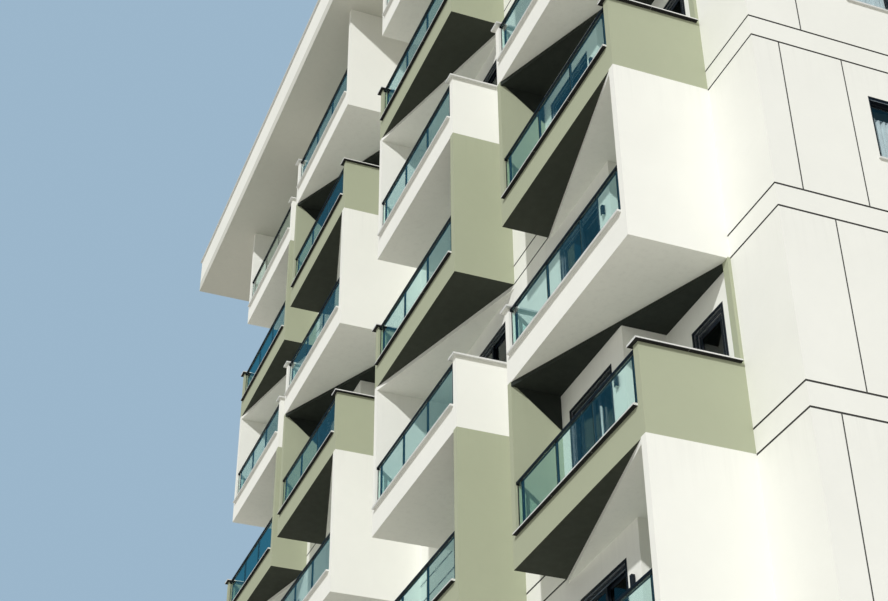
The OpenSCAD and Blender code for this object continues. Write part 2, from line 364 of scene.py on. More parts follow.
def new_material(name, colour, **values):
    """A material with a Principled shader and its plain settings."""
    material = bpy.data.materials.new(name)
    material.use_nodes = True
    shader = material.node_tree.nodes["Principled BSDF"]
    feed(shader, base_color=(*colour, 1), **values)
    return material, material.node_tree, shader


def place_in(tree):
    return node(tree, "TexCoord", {}).outputs["Object"]


def height(tree):
    return node(tree, "SeparateXYZ", {0: place_in(tree)}).outputs[2]


def noise(tree, scale, stretch=(1, 1, 1), detail=4.0, roughness=0.55):
    """A cloudy pattern from 0 to 1, in metres, drawn out along an axis where stretch is under 1."""
    mapped = node(tree, "Mapping", {"Vector": place_in(tree), "Scale": stretch})
    return node(tree, "TexNoise", {
        "Vector": mapped.outputs[0], "Scale": scale, "Detail": detail, "Roughness": roughness,
    }).outputs["Fac"]


def spread(tree, value, between=(0.3, 0.7), onto=(0.0, 1.0)):
    """The value's range between two numbers, spread onto another range and held at its ends."""
    return node(tree, "MapRange", {
        "Value": value, "From Min": between[0], "From Max": between[1], "To Min": onto[0], "To Max": onto[1],
    }).outputs[0]


def patches(tree, scale, between=(0.3, 0.7), onto=(0.0, 1.0), **shape):
    """Noise with its middle range spread onto another range."""
    return spread(tree, noise(tree, scale, **shape), between, onto)


def calc(tree, operation, *values):
    return node(tree, "Math", dict(enumerate(values)), operation=operation).outputs[0]


def blend(tree, share, first, second):
    """first where share is 0 and second where it is 1, as colours."""
    return node(tree, "Mix", {0: share, 6: first, 7: second}, data_type="RGBA").outputs[2]


def tone(colour, factor):
    """A lighter or darker shade of a colour."""
    return (*[min(1.0, channel * factor) for channel in colour], 1)


def mix_shaders(output, share, first, second):
    """Joins two shaders in a tree's output node, by share."""
    mix = node(output.id_data, "MixShader", {0: share, 1: first.outputs[0], 2: second.outputs[0]})
    connect(output.inputs["Surface"], mix.outputs[0])


def bump(shader, *layers):
    """Stacks bump layers of (pattern, distance in metres) on the shader's normal."""
    below = {}
    for pattern, distance in layers:
        inputs = {"Height": pattern, "Distance": distance, "Strength": 1.0, **below}
        below = {"Normal": node(shader.id_data, "Bump", inputs).outputs[0]}
    feed(shader, normal=below["Normal"])


def in_storey(tree, first, second):
    """How far one height is over another, counted anew at each storey."""
    return calc(tree, "FLOORED_MODULO", calc(tree, "SUBTRACT", first, second), STOREY)


def render_finish(name, colour, streaks=0.07, edges=None, boards=None):
    """Painted render: cloudy tone, fine grain, and faint rain marks under each storey's lines.
    Edges over the soffits may have their own colour, and the boards that hang lower take a darker olive that
    is painted shade."""
    material, tree, shader = new_material(name, colour, roughness=0.85, specular_ior_level=0.3)
    coat = blend(tree, patches(tree, 0.55, detail=6), tone(colour, 0.965), tone(colour, 1.02))
    stains = patches(tree, 3.1, (0.35, 0.75), (0.0, 0.5), detail=5)
    coat = blend(tree, stains, coat, tone(colour, 0.975))
    below = in_storey(tree, LEVELS[0] + GROOVES_UP[0], height(tree))
    fade = spread(tree, below, (0.0, 0.9), (1.0, 0.0))
    drops = patches(tree, 9.0, (0.48, 0.72), stretch=(1, 1, 0.05), detail=5, roughness=0.7)
    marks = calc(tree, "MULTIPLY", calc(tree, "MULTIPLY", fade, drops), 4 * streaks)
    coat = blend(tree, marks, coat, tone(colour, 0.80))
    if edges:
        facing = node(tree, "NewGeometry", {}).outputs["Normal"]
        down = node(tree, "SeparateXYZ", {0: facing}).outputs[2]
        above = in_storey(tree, height(tree), LEVELS[0] - 0.001)
        # Painted shade: the boards that hang lower get a darker olive, for the deeper shade they sit in
        lower = calc(tree, "GREATER_THAN", above, STOREY / 2)
        coat = blend(tree, lower, coat, (*boards, 1))
        upright = calc(tree, "GREATER_THAN", down, -0.5)
        on_edge = calc(tree, "MULTIPLY", upright, calc(tree, "SUBTRACT", 1.0, lower))
        coat = blend(tree, on_edge, coat, (*edges, 1))
    trowel = noise(tree, 7.0, detail=3)
    feed(shader, base_color=coat, roughness=spread(tree, trowel, onto=(0.78, 0.92)))
    bump(shader, (trowel, 0.0025), (noise(tree, 150.0, detail=3, roughness=0.7), 0.0006))
    return material


def stone_finish(name, colour):
    """Sawn light stone with fine crystals."""
    material, tree, shader = new_material(name, colour, roughness=0.45, specular_ior_level=0.5)
    crystals = node(tree, "TexVoronoi", {"Scale": 160.0}).outputs["Color"]
    fleck = node(tree, "SeparateColor", {0: crystals}).outputs[0]
    flecks = spread(tree, fleck, (0.55, 1.0), (0.0, 0.45))
    speckled = blend(tree, flecks, tone(colour, 1.04), tone(colour, 0.72))
    clouds = patches(tree, 2.0, (0.35, 0.7), (0.0, 0.35))
    feed(shader, base_color=blend(tree, clouds, speckled, tone(colour, 0.88)),
         roughness=patches(tree, 30.0, onto=(0.35, 0.55)))
    bump(shader, (noise(tree, 90.0), 0.0004))
    return material


def metal_finish(name, colour, roughness, metallic, wear=0.2, shine=0.5):
    """Coated or bare metal with a faint grain along its length and dusty patches."""
    dust, dustiness = 0.30, 0.35
    material, tree, shader = new_material(
        name, colour, roughness=roughness, metallic=metallic, specular_ior_level=shine)
    dusty = tuple(channel + (dust - channel) * dustiness for channel in colour)
    worn = patches(tree, 5.0, (0.45, 0.8), (0.0, wear), detail=6)
    grain = noise(tree, 220.0, stretch=(1, 1, 0.06), detail=3)
    feed(shader, base_color=blend(tree, worn, (*colour, 1), (*dusty, 1)),
         roughness=spread(tree, grain, onto=(roughness - 0.07, roughness + 0.09)))
    bump(shader, (grain, 0.00015))
    return material


def glass_finish(name, tint, shine=0.25, dirt=0.02):
    """Glass with the tint of the whole sheet. Sunlight and bounced light pass straight through it."""
    material, tree, shader = new_material(
        name, tint, roughness=0.02, ior=1.5, transmission_weight=1.0, specular_ior_level=shine)
    smear = patches(tree, 3.0, (0.4, 0.8), stretch=(1, 1, 0.4), detail=6)
    feed(shader,
         base_color=blend(tree, calc(tree, "MULTIPLY", smear, dirt), (*tint, 1), tone(tint, 0.7)),
         roughness=spread(tree, smear, (0.0, 1.0), (0.0, 0.06)))
    face = tuple(math.sqrt(channel) for channel in tint)
    clear = node(tree, "BsdfTransparent", {"Color": (*face, 1)})
    path = node(tree, "LightPath", {}).outputs
    through = calc(tree, "MAXIMUM", path["Is Shadow Ray"], path["Is Diffuse Ray"])
    mix_shaders(tree.nodes["Material Output"], through, shader, clear)
    return material


def tile_finish(name, colour, size=0.6, joint=0.004):
    """Square floor tiles with slightly different tones and sunk joints."""
    material, tree, shader = new_material(name, colour, roughness=0.5)
    tiles = node(tree, "TexBrick", {
        "Vector": place_in(tree), "Color1": tone(colour, 0.94), "Color2": tone(colour, 1.06),
        "Mortar": tone(colour, 0.55), "Scale": 1.0, "Mortar Size": joint, "Brick Width": size,
        "Row Height": size,
    }, offset=0.0)
    clouds = patches(tree, 4.0, (0.35, 0.75), (0.0, 0.4))
    feed(shader, base_color=blend(tree, clouds, tiles.outputs["Color"], tone(colour, 0.86)))
    flat = calc(tree, "SUBTRACT", 1.0, tiles.outputs["Fac"])
    bump(shader, (flat, 0.002), (noise(tree, 60.0), 0.0004))
    return material


def concrete_finish(name, colour, grain=60.0):
    """Cast concrete or mineral felt: cloudy, with pores."""
    material, tree, shader = new_material(name, colour, roughness=0.88)
    clouds = patches(tree, 1.3, (0.35, 0.7), detail=8)
    cloudy = blend(tree, clouds, tone(colour, 0.86), tone(colour, 1.06))
    pores = calc(tree, "MULTIPLY", patches(tree, grain, (0.62, 0.72), detail=2), 0.35)
    feed(shader, base_color=blend(tree, pores, cloudy, tone(colour, 0.6)))
    bump(shader, (noise(tree, grain), 0.001))
    return material


def cloth_finish(name, colour):
    """Thin woven curtain cloth with a soft sheen."""
    material, tree, shader = new_material(
        name, colour, roughness=0.9, sheen_weight=0.25, sheen_roughness=0.5, specular_ior_level=0.2)
    soft = patches(tree, 12.0, stretch=(1, 1, 0.1))
    feed(shader, base_color=blend(tree, soft, tone(colour, 0.90), tone(colour, 1.05)))
    bump(shader, (noise(tree, 400.0, stretch=(1, 1, 0.2), detail=2), 0.0003))
    return material


def milk_finish(name, colour):
    """Frosted lamp glass, and the pale strip of a painted highlight."""
    material, tree, shader = new_material(name, colour, roughness=0.35)
    clouds = noise(tree, 40.0)
    feed(shader, base_color=blend(tree, clouds, tone(colour, 0.93), tone(colour, 1.05)))
    bump(shader, (noise(tree, 300.0), 0.0002))
    return material


FINISH = {
    "white": render_finish("white_render", WHITE),
    "roof": render_finish("roof_soffit", ROOF_SOFFIT, streaks=0.04),
    "sage": render_finish("sage_render", SAGE),
    # Olive soffits: sage on their upright edges, and painted shade in a darker olive on the boards that hang
    # lower
    "olive": render_finish("olive_soffit", OLIVE, streaks=0.03, edges=SAGE, boards=SHADED_OLIVE),
    # Darker olive as painted shade, for the triangles on the green walls' inner faces
    "olive_shade": render_finish("olive_painted_shade", SHADED_OLIVE, streaks=0.03),
    "joint": concrete_finish("wall_joint", JOINT, grain=90.0),
    "stone": stone_finish("light_stone", STONE),
    # Dark paint deepened as painted shade, under dark copings and below their light nose
    "underside_and_shade": render_finish("dark_underside_and_painted_shade", UNDERSIDE_PAINT_AND_SHADE, streaks=0.02),
    "frame": metal_finish("dark_aluminium", NAVY, roughness=0.40, metallic=0.0, wear=0.05, shine=0.15),
    "enamel": metal_finish("enamelled_sheet", ENAMEL, roughness=0.45, metallic=0.0, wear=0.15),
    # A painted highlight, for the sunlit edge of the door that stands ajar
    "edge_highlight": milk_finish("painted_edge_highlight", EDGE_HIGHLIGHT),
    "bare": metal_finish("bare_aluminium", ALUMINIUM, roughness=0.32, metallic=0.9),
    "zinc": metal_finish("zinc_sheet", ZINC, roughness=0.42, metallic=0.75, wear=0.4),
    "railing": glass_finish("railing_glass", RAILING_TINT, shine=0.15),
    # Tinted door glass whose near-black tint is also painted shade for the rooms behind
    "pane": glass_finish("door_glass", PANE_TINT_AND_ROOM_SHADE),
    "clear": glass_finish("window_glass", CLEAR_TINT, shine=0.06),
    "tile": tile_finish("balcony_tiles", TILE),
    "concrete": concrete_finish("cast_concrete", CONCRETE),
    "felt": concrete_finish("roof_felt", FELT, grain=180.0),
    "cloth": cloth_finish("curtain_cloth", CLOTH),
    "milk": milk_finish("frosted_glass", MILK),
}


# Walls with score lines

class Wall:
    """A flat outer wall in its own frame: u to the right seen from outside, v inwards and z up."""

    def __init__(self, name, inwards):
        self.nodes = (f"{name}_piers", f"{name}_spandrels")
        inwards, up = Vector(inwards), Vector((0, 0, 1))
        outer = min(inwards.dot(corner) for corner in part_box(self.nodes[0]))
        columns = Matrix((inwards.cross(up), inwards, up)).transposed()
        self.place = Matrix.Translation(inwards * outer) @ columns.to_4x4()
        back = self.place.inverted()
        piers, self.spandrels = (
            [self.flat(back @ low, back @ high) for low, high in solids(cad_name)]
            for cad_name in self.nodes)
        self.thick = max(abs((back @ corner).y) for corner in solids(self.nodes[1])[0])
        self.boxes = piers + self.spandrels
        self.left = min(box[0] for box in self.boxes)
        self.right = max(box[1] for box in self.boxes)
        self.top = max(box[3] for box in self.boxes)
        self.grooves = []
        self.cuts = []

    @staticmethod
    def flat(low, high):
        """(u from, u to, z from, z to) of a box."""
        sides = [sorted((low[i], high[i])) for i in (0, 2)]
        return tuple(round(value, 4) for side in sides for value in side)

    def openings(self):
        """(left, low, width, height) of each opening left between the spandrels of a column."""
        columns = {}
        for left, right, low, high in self.spandrels:
            columns.setdefault((left, right), []).append((low, high))
        found = []
        for (left, right), spans in sorted(columns.items()):
            spans.sort()
            found += [(left, below[1], right - left, above[0] - below[1])
                      for below, above in zip(spans, spans[1:])]
        return found

    def at(self, left, low, depth=0.0):
        """Matrix that sets down a build at a point of the wall's face."""
        return self.place @ Matrix.Translation((left, depth, low))

    def score_across(self, left, right, wraps=()):
        """Two level lines at each storey, carried round the wall's end where wraps names it."""
        for level, up in product(LEVELS, GROOVES_UP):
            low, high = level + up - LEVEL_W / 2, level + up + LEVEL_W / 2
            self.grooves.append((left, right, low, high))
            if "left" in wraps:
                self.cuts.append((self.left, self.left + GROOVE_D, low, high))
            if "right" in wraps:
                self.cuts.append((self.right - GROOVE_D, self.right, low, high))

    def score_up(self, places):
        """Upright lines between the level ones. places gives their u on odd and even storeys."""
        floors = [0.0, *LEVELS, self.top]
        for k, (below, above) in enumerate(zip(floors, floors[1:])):
            low = below + GROOVES_UP[1] if k else 0.0
            high = above + GROOVES_UP[0] if above < self.top else self.top
            for u in places[k % 2]:
                self.grooves.append((u - UPRIGHT_W / 2, u + UPRIGHT_W / 2, low, high))

    def build(self):
        """The wall as one closed mesh, on a grid of all the lines in its face. Each cell lies at the
        face, at the grooves' depth, at the back where there is no wall, or is a cut round the end."""
        flush, sunk, away, cut = range(4)
        depths = (0.0, GROOVE_D, self.thick)
        rects = self.boxes + self.grooves + self.cuts
        us = sorted({round(value, 4) for rect in rects for value in rect[:2]})
        zs = sorted({round(value, 4) for rect in rects for value in rect[2:]})

        def covers(rects, u, z):
            return any(rect[0] < u < rect[1] and rect[2] < z < rect[3] for rect in rects)

        def level(i, j):
            if not (0 <= i < len(us) - 1 and 0 <= j < len(zs) - 1):
                return away
            u, z = (us[i] + us[i + 1]) / 2, (zs[j] + zs[j + 1]) / 2
            if not covers(self.boxes, u, z):
                return away
            if covers(self.cuts, u, z):
                return cut
            return sunk if covers(self.grooves, u, z) else flush

        levels = {(i, j): level(i, j) for i in range(-1, len(us)) for j in range(-1, len(zs))}
        numbers, points = {}, []
        plain, dark = [], []

        def point(i, j, depth):
            if (i, j, depth) not in numbers:
                numbers[i, j, depth] = len(points)
                points.append(self.place @ Vector((us[i], depths[depth], zs[j])))
            return numbers[i, j, depth]

        def step(first, second, ends):
            """Faces between two cells that lie at different depths, dark in the lines."""
            near, far = sorted((min(first, away), min(second, away)))
            faces = dark if cut in (first, second) or {first, second} == {flush, sunk} else plain
            for depth in range(near, far):
                start, end = ends
                faces.append((point(*start, depth), point(*end, depth),
                              point(*end, depth + 1), point(*start, depth + 1)))

        for i, j in product(range(-1, len(us) - 1), range(-1, len(zs) - 1)):
            here = levels[i, j]
            if here < away:
                corners = ((i, j), (i + 1, j), (i + 1, j + 1), (i, j + 1))
                (dark if here else plain).append(tuple(point(*corner, here) for corner in corners))
                plain.append(tuple(point(*corner, away) for corner in corners))
            if i + 1 < len(us) and j >= 0:
                step(here, levels[i + 1, j], ((i + 1, j), (i + 1, j + 1)))
            if j + 1 < len(zs) and i >= 0:
                step(here, levels[i, j + 1], ((i, j + 1), (i + 1, j + 1)))
        made = Build()
        made.add(points, plain + dark, [0] * len(plain) + [1] * len(dark))
        return made


# Doors and windows, in their own frame: u to the right, v inwards, z up, from the opening's corner

FRAME, BARE, PANE, HIGHLIGHT = range(4)

# Rings of a door frame from outside in: bar, front, back, material and chamfer
FRAME_STEPS = (
    (0.045, -0.006, 0.064, FRAME, CHAMFER),
    (0.010, 0.004, 0.024, BARE, 0.0),
    (0.045, 0.024, 0.124, FRAME, CHAMFER),
    (0.010, 0.030, 0.044, BARE, 0.0),
)


def ring(build, left, low, right, high, bar, front, back, mat=FRAME, edge=CHAMFER):
    """Four bars round a rectangle."""
    build.box((left, front, low), (left + bar, back, high), mat, edge)
    build.box((right - bar, front, low), (right, back, high), mat, edge)
    build.box((left + bar, front, low), (right - bar, back, low + bar), mat, edge)
    build.box((left + bar, front, high - bar), (right - bar, back, high), mat, edge)


def outer_frame(build, width, tall):
    """A stepped frame: an outer ring, a sunk track ring, and a bare bead round each. Returns its bar."""
    inner = 0.0
    for bar, front, back, mat, edge in FRAME_STEPS:
        ring(build, inner, inner, width - inner, tall - inner, bar, front, back, mat, edge)
        inner += bar
    return inner


def sash(build, left, low, right, high, front, stile=STILE):
    """Four glazed bars, with the pane in their rebates."""
    ring(build, left, low, right, high, stile, front, front + SASH_T)
    edge, middle = stile - REBATE, front + SASH_T / 2
    build.box((left + edge, middle - PANE_T / 2, low + edge),
              (right - edge, middle + PANE_T / 2, high - edge), PANE)


def bow_handle(build, u, low, high, front):
    """An upright pull bar on two feet."""
    half, reach, foot_in = 0.008, 0.030, 0.030
    for z in (low + foot_in, high - foot_in):
        build.box((u - half, front - reach, z - half), (u + half, front, z + half), BARE, CHAMFER)
    bar_half, bar_round, bar_out = 0.011, 0.0105, 0.036
    outline = round_outline(u, front - bar_out, bar_half, bar_half, bar_round, 3)
    build.rod(outline, 2, low, high, BARE)


def sliding_window(width, tall):
    """Two slim sashes that slide past each other, the right one in front, with a bare bead under
    the head and a dark lining over the reveal, whose near-black is painted shade under the head."""
    head_in, bead_in, bead_to, play = 0.004, 0.008, 0.015, 0.002
    front_in, back_in = 0.028, 0.064
    build = Build()
    ring(build, 0, 0, width, tall, SLIM, 0.0, SLIM_DEPTH)
    right, head = width - SLIM, tall - SLIM - SLIM_HEAD
    build.box((SLIM, head_in, head), (right, SLIM_DEPTH, tall - SLIM), FRAME, CHAMFER)
    build.box((SLIM, bead_in, head - SLIM_BEAD), (right, bead_to, head), BARE)
    # Painted shade: a near-black lining under the head, behind the frame
    build.box((SLIM, SLIM_DEPTH, tall - LINING_T), (right, LINING_IN, tall), FRAME, CHAMFER)
    middle, lap = width / 2, SLIM_STILE / 2
    sash(build, SLIM, SLIM, middle + lap, head - play, back_in, SLIM_STILE)
    sash(build, middle - lap, SLIM, right, head - play, front_in, SLIM_STILE)
    return build


def sliding_door(width, tall, apart=0.0):
    """Two sashes with a pull bar. The left one is in front. It stands open by apart, and then has a
    pale strip down its edge, a painted highlight of the sunlit edge up to where the shade begins."""
    highlight_t, highlight_up = 0.004, 0.010
    handle_low, handle_high = 0.75, 1.30
    build = Build()
    inner = outer_frame(build, width, tall)
    middle, lap = width / 2, STILE / 2
    sash(build, middle - lap, inner, width - inner, tall - inner, BACK_SASH_IN)
    edge = middle + lap + apart
    sash(build, inner + apart, inner, edge, tall - inner, FRONT_SASH_IN)
    if apart:
        # Painted highlight: a pale strip for the sunlit edge, up to where the shade begins
        build.box((edge, FRONT_SASH_IN, inner + highlight_up),
                  (edge + highlight_t, FRONT_SASH_IN + SASH_T, HIGHLIGHT_TOP), HIGHLIGHT, CHAMFER / 2)
    bow_handle(build, edge - STILE / 2, handle_low, handle_high, FRONT_SASH_IN)
    return build


def leaf_unit(width, tall):
    """One glazed leaf with a middle rail and a lever handle."""
    rail_low, rail_high = 0.85, 0.94
    build = Build()
    inner = outer_frame(build, width, tall)
    sash(build, inner, inner, width - inner, tall - inner, LEAF_IN, LEAF_STILE)
    build.box((inner + LEAF_STILE, LEAF_IN, rail_low),
              (width - inner - LEAF_STILE, LEAF_IN + SASH_T, rail_high), FRAME, CHAMFER)
    # Corners of the handle's parts, from the frame's inner edge
    plate = ((0.020, 0.037, 0.980), (0.055, 0.045, 1.120))
    neck = ((0.030, 0.010, 1.055), (0.045, 0.037, 1.070))
    grip = ((0.030, 0.000, 1.052), (0.150, 0.014, 1.073))
    for low, high in (plate, neck, grip):
        build.box((inner + low[0], *low[1:]), (inner + high[0], *high[1:]), BARE, CHAMFER)
    return build


def entrance_unit(width, tall):
    """Two glazed leaves under a fixed light."""
    light_tall, transom, stile, play = 0.42, 0.05, 0.07, 0.002
    handle_low, handle_high, handle_off = 0.70, 1.50, 0.035
    build = Build()
    inner = outer_frame(build, width, tall)
    top, middle = tall - light_tall, width / 2
    sash(build, inner, top + transom, width - inner, tall - inner, LEAF_IN)
    build.box((inner, 0.040, top), (width - inner, 0.080, top + transom), FRAME, CHAMFER)
    sash(build, inner, inner, middle - play, top, LEAF_IN, stile)
    sash(build, middle + play, inner, width - inner, top, LEAF_IN, stile)
    for side in (-1, 1):
        bow_handle(build, middle + side * handle_off, handle_low, handle_high, LEAF_IN)
    return build


def sill_unit(width, out=0.035, lap=0.03, inwards=0.09):
    """A stone sill with a sloped top and a drip under its nose."""
    outline = [
        (-out, 0.0), (-out + 0.012, 0.0), (-out + 0.014, 0.006), (-out + 0.020, 0.006), (-out + 0.022, 0.0),
        (inwards, 0.0), (inwards, SILL_T + 0.008), (-out + 0.003, SILL_T), (-out, SILL_T - 0.003),
    ]
    build = Build()
    build.rod(outline, 0, -lap, width + lap)
    return build


def threshold_unit(width, out=0.02, inwards=0.16):
    """A flat stone strip under a door."""
    build = Build()
    build.box((0.0, -out, 0.0), (width, inwards, THRESHOLD_T), 0, 0.003)
    return build


def curtain(build, place, width, drop, phase, tight=0.85, sway=0.35):
    """A pleated curtain, tighter at its heading and uneven by sway, as a thin closed sheet.
    Returns the length of cloth along its pleats."""
    points_a_fold, rows = 6, 4
    columns = FOLDS * points_a_fold
    line, layer = columns + 1, (columns + 1) * (rows + 1)
    points = []
    for side, row, column in product((0, 1), range(rows + 1), range(columns + 1)):
        down, share = row / rows, column / columns
        turn = 2 * math.pi * FOLDS * share + phase
        wander = sway * math.sin(turn * 0.37 + 2.1 * down + phase)
        reach = FOLD_DEEP * (tight + (1 - tight) * down)
        v = reach * (math.sin(turn) + wander) + side * CLOTH_T
        points.append(place @ Vector((share * width, v, -down * drop)))
    faces = [quad(side * layer + row * line + column, 1, line)
             for side, row, column in product((0, 1), range(rows), range(columns))]
    faces += [quad(row * line + column, line, layer) for row, column in product(range(rows), (0, columns))]
    faces += [quad(row * line + column, 1, layer) for column, row in product(range(columns), (0, rows))]
    build.add(points, faces, [0] * len(faces))
    hem = points[rows * line:layer]
    return sum(math.dist(a, b) for a, b in zip(hem, hem[1:]))


def curtain_rod(width, end_t=0.006, end_half=0.016, play=0.004):
    """A round rod with a square plate at each end."""
    build = Build()
    outline = round_outline(0.0, 0.0, ROD_RADIUS, ROD_RADIUS, 0.95 * ROD_RADIUS, 3)
    build.rod(outline, 0, play, width - play)
    for u in (0.0, width - end_t):
        build.box((u, -end_half, -end_half), (u + end_t, end_half, end_half), 0, CHAMFER)
    return build


def lamp_unit():
    """An up-and-down wall lamp: back plate, slim body, two frosted glasses and two bands."""
    metal, frosted = 0, 1
    half, tall, out, plate_t, lid = LAMP_W / 2, 0.086, 0.060, 0.008, 0.004
    build = Build()

    def block(half, front, back, low, high, mat, edge):
        build.box((-half, front, low), (half, back, high), mat, edge)

    block(half - 0.008, -plate_t, 0.0, -0.060, 0.060, metal, CHAMFER)
    block(half, -out, -plate_t, -tall, tall, metal, 0.003)
    for up, inset, mat in ((tall, 0.007, frosted), (0.062, -0.001, metal)):
        for low in (-up - lid, up):
            block(half - inset, inset - out, -plate_t - inset, low, low + lid, mat, CHAMFER / 2)
    return build


# Pieces

def make_walls():
    """The outer walls with their score lines and openings."""
    front, right, left, back = (0, 1, 0), (-1, 0, 0), (1, 0, 0), (0, -1, 0)
    walls = {
        "door_walls": Wall("door_wall", front),
        "recess_walls": Wall("recess_wall", front),
        "right_gable": Wall("right_gable", right),
        "left_gable": Wall("left_gable", left),
        "back_wall": Wall("back_wall", back),
    }
    sides = solids("white_side_walls", "white_side_parapets", "green_side_walls", "green_side_parapets")
    edges = sorted({round(corner.x, 3) for solid in sides for corner in solid if corner.x > 0})
    inner_from, _, _, inner_to, outer_from, _, _, outer_to = edges
    walls["door_walls"].score_across(inner_to, outer_from)
    walls["door_walls"].score_across(-outer_from, -inner_to)
    recess = walls["recess_walls"]
    recess.score_across(-inner_from, inner_from)
    recess.score_across(outer_to, recess.right, ("right",))
    recess.score_across(recess.left, -outer_to, ("left",))
    for name in ("right_gable", "left_gable", "back_wall"):
        wall = walls[name]
        wall.score_across(wall.left, wall.right, ("left", "right") if name == "back_wall" else ())
        wall.score_up(upright_lines(wall, recess.thick if name != "back_wall" else 0.0))
    for name, wall in walls.items():
        make(name, wall.build(), ["white", "joint"], "white_render", *wall.nodes)
    return walls


def upright_lines(wall, corner):
    """Where the upright lines go: near both ends and between the windows, by odd and even storeys."""
    gaps = sorted({(box[0], box[1]) for box in wall.spandrels})
    places = {0: [], 1: []}
    for parity, lines in places.items():
        for off in CORNER_LINES[parity]:
            lines += [wall.left - corner + off, wall.right + corner - off]
        for before, after in zip(gaps, gaps[1:]):
            middle = (before[1] + after[0]) / 2
            lines += [middle + off for off in PIER_LINES[parity]]
    return places


def make_windows(walls, chance):
    """Sliding windows with sills and curtains in the gables and the back wall."""
    for name in ("right_gable", "left_gable", "back_wall"):
        wall = walls[name]
        frames, sills = Build(), Build()
        width, tall = wall.openings()[0][2:]
        unit, sill = sliding_window(width, tall - SILL_T), sill_unit(width)
        for left, low, _, _ in wall.openings():
            frames.merge(unit, wall.at(left, low + SILL_T))
            sills.merge(sill, wall.at(left, low))
        make(f"{name}_windows", frames, ["frame", "bare", "clear"], "dark_frame")
        make(f"{name}_sills", sills, ["stone"], "light_coping")
        make_curtains(wall, name, chance)


def make_curtains(wall, name, chance):
    """One sheet of curtains a storey, hung from rods in the windows' reveals, under their heads."""
    side_gap = 0.015
    width, tall = wall.openings()[0][2:]
    drop = tall - ROD_UNDER_HEAD - SILL_T
    rod, rods = curtain_rod(width), Build()
    storeys = {}
    for left, low, _, _ in wall.openings():
        storeys.setdefault(low, []).append(left)
    for storey, (low, places) in enumerate(sorted(storeys.items())):
        build, fabric = Build(), 0.0
        top = low + tall - ROD_UNDER_HEAD
        for left in places:
            place = wall.at(left + side_gap, top, ROD_IN)
            fabric += curtain(build, place, width - 2 * side_gap, drop, chance.uniform(0, 6))
            rods.merge(rod, wall.at(left, top + 0.7 * ROD_RADIUS, ROD_IN))
        piece = make(f"{name}_curtains_{storey}", build, ["cloth"], "white_render", smooth=True)
    make(f"{name}_curtain_rods", rods, ["bare"], "dark_frame")


def make_doors(walls):
    """Sliding doors and wall lamps in the door walls, narrow doors and the entrance in the recess walls."""
    sliders, lamps, leaves, entrance, thresholds = [Build() for _ in range(5)]
    wall, lamp = walls["door_walls"], lamp_unit()
    width, tall = wall.openings()[0][2:]
    shut, ajar = [sliding_door(width, tall - THRESHOLD_T, apart) for apart in (0.0, AJAR)]
    off = LAMP_OFF + LAMP_W / 2
    for left, low, _, _ in wall.openings():
        on_storey = LEVELS[AJAR_STOREY - 1] < low < LEVELS[AJAR_STOREY]
        unit = ajar if left > GAP_MIDDLE and on_storey else shut
        sliders.merge(unit, wall.at(left, low + THRESHOLD_T))
        thresholds.merge(threshold_unit(width), wall.at(left, low))
        lamp_at = left + width + off if gap_is_left(left) else left - off
        lamps.merge(lamp, wall.at(lamp_at, low + LAMP_UP))
    wall = walls["recess_walls"]
    for left, low, width, tall in wall.openings():
        in_middle = left < 0 < left + width
        build, unit = (entrance, entrance_unit) if in_middle else (leaves, leaf_unit)
        build.merge(unit(width, tall - THRESHOLD_T), wall.at(left, low + THRESHOLD_T))
        thresholds.merge(threshold_unit(width), wall.at(left, low))
    finishes = ["frame", "bare", "pane", "edge_highlight"]
    make("sliding_doors", sliders, finishes, "dark_frame")
    make("wall_lamps", lamps, ["frame", "milk"], "dark_frame")
    make("entrance_door", entrance, finishes, "dark_frame")
    make("narrow_doors", leaves, finishes, "dark_frame")
    make("door_thresholds", thresholds, ["stone"], "light_coping")


def make_balconies():
    """Glass sheets, posts, handrails, the full walls of the green storeys, and copings."""
    rebuild("railing_glass", "glass_sheets", ["railing"], "railing_glass", glass_sheet)
    rebuild("railing_posts", "rail_posts", ["frame", "bare"], "dark_frame", rail_post)
    rebuild("handrails", "handrail_tubes", ["frame"], "dark_frame", handrail)
    # The green outer walls carry painted shade in a triangle on their inner faces
    rebuild("green_side_walls", "green_outer_walls", ["sage", "olive_shade"], "green_render", green_wall)
    ways = (("front", 0), ("side", 1))
    # Dark copings are near-black underneath and below their nose: dark paint deepened as painted shade
    shades = (("white", "stone", 0.0, "light_coping"), ("dark", "underside_and_shade", NOSE, "dark_coping"))
    for (side, along), (shade, under, nose, slot) in product(ways, shades):
        name = f"{shade}_{side}_coping"
        rebuild(f"{name}s", f"{name}_stones", ["stone", under], slot, coping, along, nose, under=1)


def glass_sheet(build, low, high):
    build.box(low, high, 0, 0.0015)


def rail_post(build, low, high):
    """A post on a foot plate with four bolts, two beside it and two behind it."""
    half, thick, behind = 0.045, 0.008, 0.035
    bolt_off, bolt_half, bolt_round, bolt_tall = 0.032, 0.007, 0.0068, 0.007
    middle, top = (low.x + high.x) / 2, low.z + thick
    build.box(low, high, 0, 0.004)
    build.box((middle - half, low.y + 0.001, low.z), (middle + half, high.y + behind, top), 0, 0.002)
    for side, y in product((-1, 1), (low.y + 0.012, high.y + 0.02)):
        bolt = round_outline(middle + side * bolt_off, y, bolt_half, bolt_half, bolt_round, 2)
        build.rod(bolt, 2, top, top + bolt_tall, 1)


